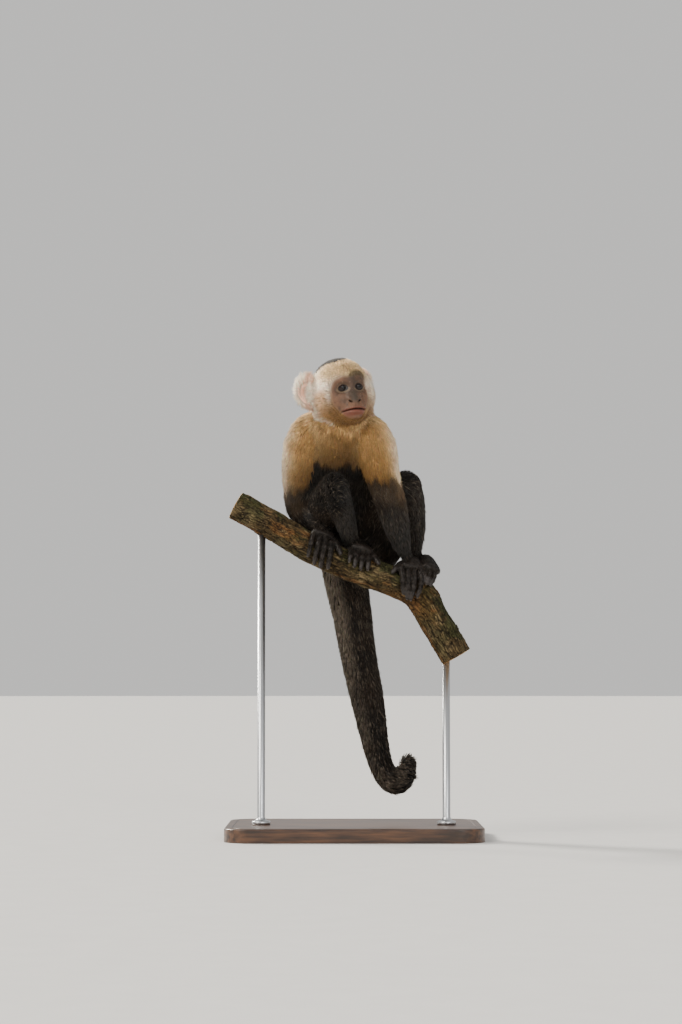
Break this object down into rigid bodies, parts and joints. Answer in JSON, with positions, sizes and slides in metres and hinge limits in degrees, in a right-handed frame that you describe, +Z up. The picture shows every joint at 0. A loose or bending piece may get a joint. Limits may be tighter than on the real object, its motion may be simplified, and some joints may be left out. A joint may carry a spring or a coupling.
{
  "type": "white-faced capuchin monkey, museum model on a perch",
  "caption": "Life-size still model of a white-faced capuchin monkey squatting on a cut branch, hands and feet wrapped over it, tail hanging behind, held on a flat base by rods.",
  "frame": {"origin": "middle of the flat underside of the stand's base", "axes": "+Z up, monkey's front towards -Y, monkey's own left towards +X"},
  "size_m": [0.33, 0.236, 0.6213],
  "materials": {
    "cream_hair": "cream hair",
    "black_hair": "black-brown hair",
    "dark_skin": "dark skin with short hair",
    "ear_skin": "pale skin with cream hair",
    "eye_dark": "glossy dark brown",
    "bark": "rough bark",
    "board": "satin dark wood",
    "steel": "brushed"
  },
  "bodies": {
    "root": {"perch_branch": "bark", "head": "cream_hair", "ear_right": "ear_skin", "ear_left": "ear_skin", "eye_right": "eye_dark", "eye_left": "eye_dark", "chest": "cream_hair", "abdomen": "black_hair", "neck": "cream_hair", "upper_arm_right": "cream_hair", "forearm_right": "black_hair", "palm_right": "dark_skin", "thumb_right": "dark_skin", "finger_index_right": "dark_skin", "finger_middle_right": "dark_skin", "finger_ring_right": "dark_skin", "finger_little_right": "dark_skin", "thigh_right": "black_hair", "shin_right": "black_hair", "foot_right": "dark_skin", "toe_big_right": "dark_skin", "toe_second_right": "dark_skin", "toe_third_right": "dark_skin", "toe_fourth_right": "dark_skin", "toe_fifth_right": "dark_skin", "upper_arm_left": "cream_hair", "forearm_left": "black_hair", "palm_left": "dark_skin", "thumb_left": "dark_skin", "finger_index_left": "dark_skin", "finger_middle_left": "dark_skin", "finger_ring_left": "dark_skin", "finger_little_left": "dark_skin", "thigh_left": "black_hair", "shin_left": "black_hair", "foot_left": "dark_skin", "toe_big_left": "dark_skin", "toe_second_left": "dark_skin", "toe_third_left": "dark_skin", "toe_fourth_left": "dark_skin", "toe_fifth_left": "dark_skin", "tail_root": "black_hair", "tail_middle": "black_hair", "tail_lower": "black_hair", "tail_tip": "black_hair", "stand_rod_left": "steel", "stand_rod_right": "steel", "stand_base": "board"}
  },
  "joints": []
}
